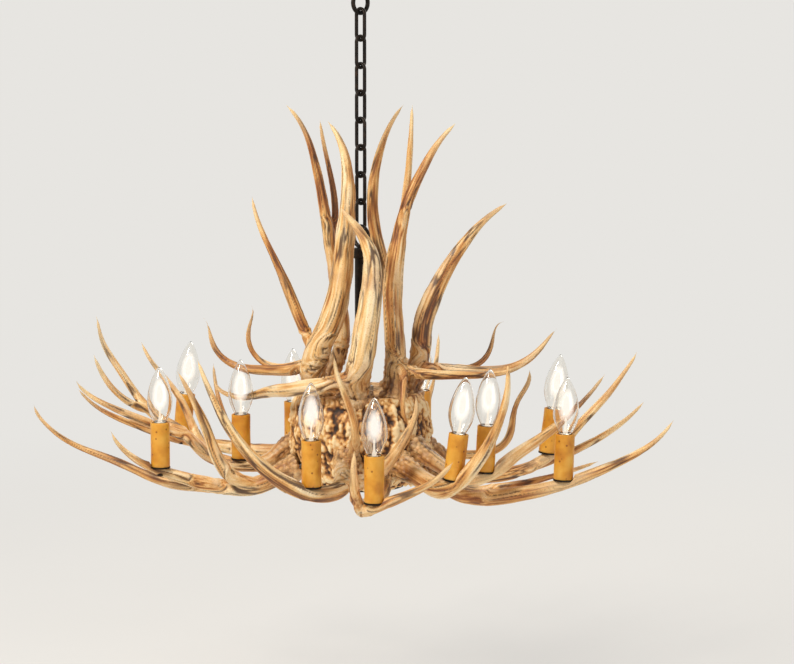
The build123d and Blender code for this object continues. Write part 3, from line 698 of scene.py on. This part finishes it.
def make_bulb(k):
    """A clear torpedo bulb: envelope, threaded cap, lit glass stem and the glare of its filament."""
    body, slot, node = f"lamp_{k}", "bulb_glass", f"bulb_{k}"
    outer, inner = glass_outline(0.0), glass_outline(GLASS_WALL)
    envelope = outer + inner[::-1] + [outer[0]]
    standing(f"envelope_{k}", turned(f"envelope_{k}", envelope, 48), GLASS, k, body, node)

    # The cap is rolled in rounded turns, with four points to each.
    cap = [(0.0, CAP_LOW), (2.6 * MM, CAP_LOW), (3.4 * MM, CAP_LOW + 1.5 * MM),
           (CAP_RADIUS - 1.2 * MM, CAP_LOW + 3 * MM)]
    for quarter in range(CAP_TURNS * 4 + 1):
        rise = CAP_LOW + 3.6 * MM + CAP_PITCH * quarter / 4
        cap.append((CAP_RADIUS - CAP_GROOVE + CAP_GROOVE * math.cos(math.pi * quarter / 2), rise))
    rim = SLEEVE_TOP + CAP_OVERLAP
    cap += [(GLASS_NECK, SLEEVE_TOP - 1.4 * MM), (GLASS_NECK, rim), (GLASS_NECK - GLASS_WALL, rim),
            (0.0, rim)]
    standing(f"cap_{k}", turned(f"cap_{k}", cap, 32), BRASS, k, body, node)

    # The stem's radii and heights above the sleeve, in millimetres.
    stem = [(radius * MM, SLEEVE_TOP + height * MM) for radius, height in (
        (0.0, 0.3), (3.6, 0.3), (2.4, 4.0), (1.4, 9.0), (1.2, 16.0), (1.7, 19.0), (0.8, 21.0), (0.0, 21.5))]
    standing(f"stem_{k}", turned(f"stem_{k}", stem, 20), STEM_GLOW, k, body, node)

    # The lit filament's glare fades outwards through nested veils of light.
    veils = []
    for share in GLARE_SHARES:
        wide, tall = GLARE_RADIUS * share, GLARE_CORE + GLARE_REACH * share
        flame = [(0.0, FILAMENT_HEIGHT - tall)]
        for row in range(1, GLARE_ROWS):
            turn = math.pi * row / GLARE_ROWS
            flame.append((wide * math.sin(turn) * (1.0 + 0.2 * math.cos(turn)),
                          FILAMENT_HEIGHT - tall * math.cos(turn)))
        veils.append(turned("veil", flame + [(0.0, FILAMENT_HEIGHT + tall)], 24))
    glare = joined(f"glare_{k}", veils)
    standing(f"glare_{k}", glare, GLARE, k, body, node)


# ---------------------------------------------------------------- making it

ANTLER, CRUST, RESIN, IRON = oiled_antler(), burr_crust(), honey_resin(), blackened_iron()
ZINC, BRASS = plated_steel("zinc_plated_steel", "#B9BABC", 0.32), plated_steel("cap_brass", "#B08D4C", 0.30)
PHENOLIC, GLASS = moulded_phenolic(), blown_glass()
GLARE = glow("filament_glare", "#FFF6EC", 1.7, 0.10)
STEM_GLOW = glow("lit_stem", "#FFF2DE", 1.2, 0.45)

for antler in ANTLERS:
    carve_antler(antler, ANTLER)
carve_heart(CRUST)
for k in LAMPS:
    make_sleeve(k)
    make_bulb(k)

for node, material in {
        "ceiling_canopy": IRON, "canopy_loop": IRON, "hub_loop": IRON, "hub_cover": IRON,
        "crossbar": ZINC, "canopy_nipple": ZINC, "stem_pipe": IRON, "hub_fasteners": ZINC,
        "lamp_hardware": IRON, "lamp_sockets": PHENOLIC, **{link: IRON for link in LINKS}}.items():
    shown = NODES[node]
    if not shown.material_slots:
        shown.data.materials.append(material)
    for place in shown.material_slots:
        place.material = material


# ---------------------------------------------------------------- room, lights and camera

FLOOR_DROP = 0.30                   # how far the floor lies below the chandelier
FLOOR_HEIGHT = cad_low.z - FLOOR_DROP
FLOOR_RADIUS = 14.0
PAPER_RANGE = (0.9, 2.6)            # from the middle, where the floor starts to blend and is all wall tone
PAPER_BLEND = (0.55, 1.0)
WALL_TONE = "#E7E5E1"


def seen_ray(tree):
    """1 for what the camera sees, straight on, through glass or in a shine, and 0 for what only lights."""
    ray = add(tree, "ShaderNodeLightPath")
    seen = add(tree, "ShaderNodeMath", {0: ray.outputs["Is Camera Ray"],
                                        1: ray.outputs["Is Transmission Ray"]}, operation="MAXIMUM")
    return add(tree, "ShaderNodeMath", {0: seen, 1: ray.outputs["Is Glossy Ray"]}, operation="MAXIMUM")


def make_room():
    """A plain pale floor, and a pale world that a camera ray sees as the same tone."""
    mesh = turned("pale_floor", [(0.0, FLOOR_HEIGHT), (FLOOR_RADIUS * 0.3, FLOOR_HEIGHT),
                                 (FLOOR_RADIUS, FLOOR_HEIGHT)], 64)
    material, tree = new_material("matt_paper")
    place = add(tree, "ShaderNodeTexCoord").outputs["Object"]
    fibre = add(tree, "ShaderNodeTexNoise", {"Vector": place, "Scale": per_metre(400), "Detail": 2.0})
    tone = add(tree, "ShaderNodeValToRGB", {"Fac": fibre}, stops=[(0.2, "#E9E7E2"), (0.8, "#EEECE8")])
    paper = add(tree, "ShaderNodeBsdfPrincipled", {"Base Color": tone, "Roughness": 0.9})
    # Away from the object the floor is seen in the wall's own tone, so that no horizon shows.
    reach = add(tree, "ShaderNodeVectorMath", {0: place}, operation="LENGTH").outputs["Value"]
    far_off = add(tree, "ShaderNodeMapRange", {
        "Value": reach, "From Min": PAPER_RANGE[0], "From Max": PAPER_RANGE[1],
        "To Min": PAPER_BLEND[0], "To Max": PAPER_BLEND[1]})
    seen = add(tree, "ShaderNodeMath", {0: far_off, 1: seen_ray(tree)}, operation="MULTIPLY")
    plain = add(tree, "ShaderNodeEmission", {"Color": linear(WALL_TONE), "Strength": 1.0})
    shader = add(tree, "ShaderNodeMixShader", {0: seen, 1: paper, 2: plain})
    add(tree, "ShaderNodeOutputMaterial", {"Surface": shader})
    mesh.materials.append(material)
    floor = bpy.data.objects.new("pale_floor", mesh)
    bpy.context.scene.collection.objects.link(floor)

    world = bpy.data.worlds.new("pale_room")
    bpy.context.scene.world = world
    world.use_nodes = True
    world.node_tree.nodes.clear()
    tree = world.node_tree
    light = add(tree, "ShaderNodeBackground", {"Color": linear("#FFFFFF"), "Strength": WORLD_LIGHT})
    wall = add(tree, "ShaderNodeBackground", {"Color": linear(WALL_TONE), "Strength": 1.0})
    mixed = add(tree, "ShaderNodeMixShader", {0: seen_ray(tree), 1: light, 2: wall})
    add(tree, "ShaderNodeOutputWorld", {"Surface": mixed})


def make_lamp(name, spot, size, power, colour):
    """A soft studio panel that looks at the chandelier's middle."""
    light = bpy.data.lights.new(name, "AREA")
    light.size, light.energy, light.color = size, power, linear(colour)[:3]
    lamp = bpy.data.objects.new(name, light)
    bpy.context.scene.collection.objects.link(lamp)
    lamp.location = spot
    lamp.rotation_mode = "QUATERNION"
    aim = Vector((0, 0, LAMP_PLANE + LAMP_AIM)) - Vector(spot)
    lamp.rotation_quaternion = aim.to_track_quat("-Z", "Y")


LAMP_AIM = 0.1                      # the panels look this far above the lamp plane
CAMERA_DISTANCE, CAMERA_RISE = 3.8, math.radians(8.5)
FOCAL_PIXELS, FRAME_WIDTH, FRAME_HEIGHT, SENSOR = 2736.0, 794, 664, 36.0
HEART_PIXEL = (361.0, 382.0)        # where the middle of the lamp plane is seen in the photograph


def make_camera():
    """The photograph's view: from the front, a little above the lamps, with the object left of centre."""
    camera = bpy.data.cameras.new("camera")
    camera.sensor_width, camera.lens = SENSOR, FOCAL_PIXELS * SENSOR / FRAME_WIDTH
    seat = bpy.data.objects.new("camera", camera)
    bpy.context.scene.collection.objects.link(seat)
    look = Vector((0, math.cos(CAMERA_RISE), -math.sin(CAMERA_RISE)))
    right = Vector((1, 0, 0))
    up = right.cross(look)
    aim = look + right * ((FRAME_WIDTH / 2 - HEART_PIXEL[0]) / FOCAL_PIXELS)
    aim -= up * ((FRAME_HEIGHT / 2 - HEART_PIXEL[1]) / FOCAL_PIXELS)
    seat.location = Vector((0, 0, LAMP_PLANE)) - look * CAMERA_DISTANCE
    seat.rotation_mode = "QUATERNION"
    seat.rotation_quaternion = aim.normalized().to_track_quat("-Z", "Y")
    bpy.context.scene.camera = seat


make_room()
make_lamp("key_panel", (-1.5, -1.6, 1.5), 1.0, 74.0, "#FFF8EE")
make_lamp("fill_panel", (2.3, -2.2, 0.1), 1.8, 14.0, "#F6F8FF")
make_lamp("back_panel", (1.2, 2.2, 1.2), 1.4, 30.0, "#FFF3E2")
make_camera()
bpy.context.scene.view_settings.view_transform = "Standard"
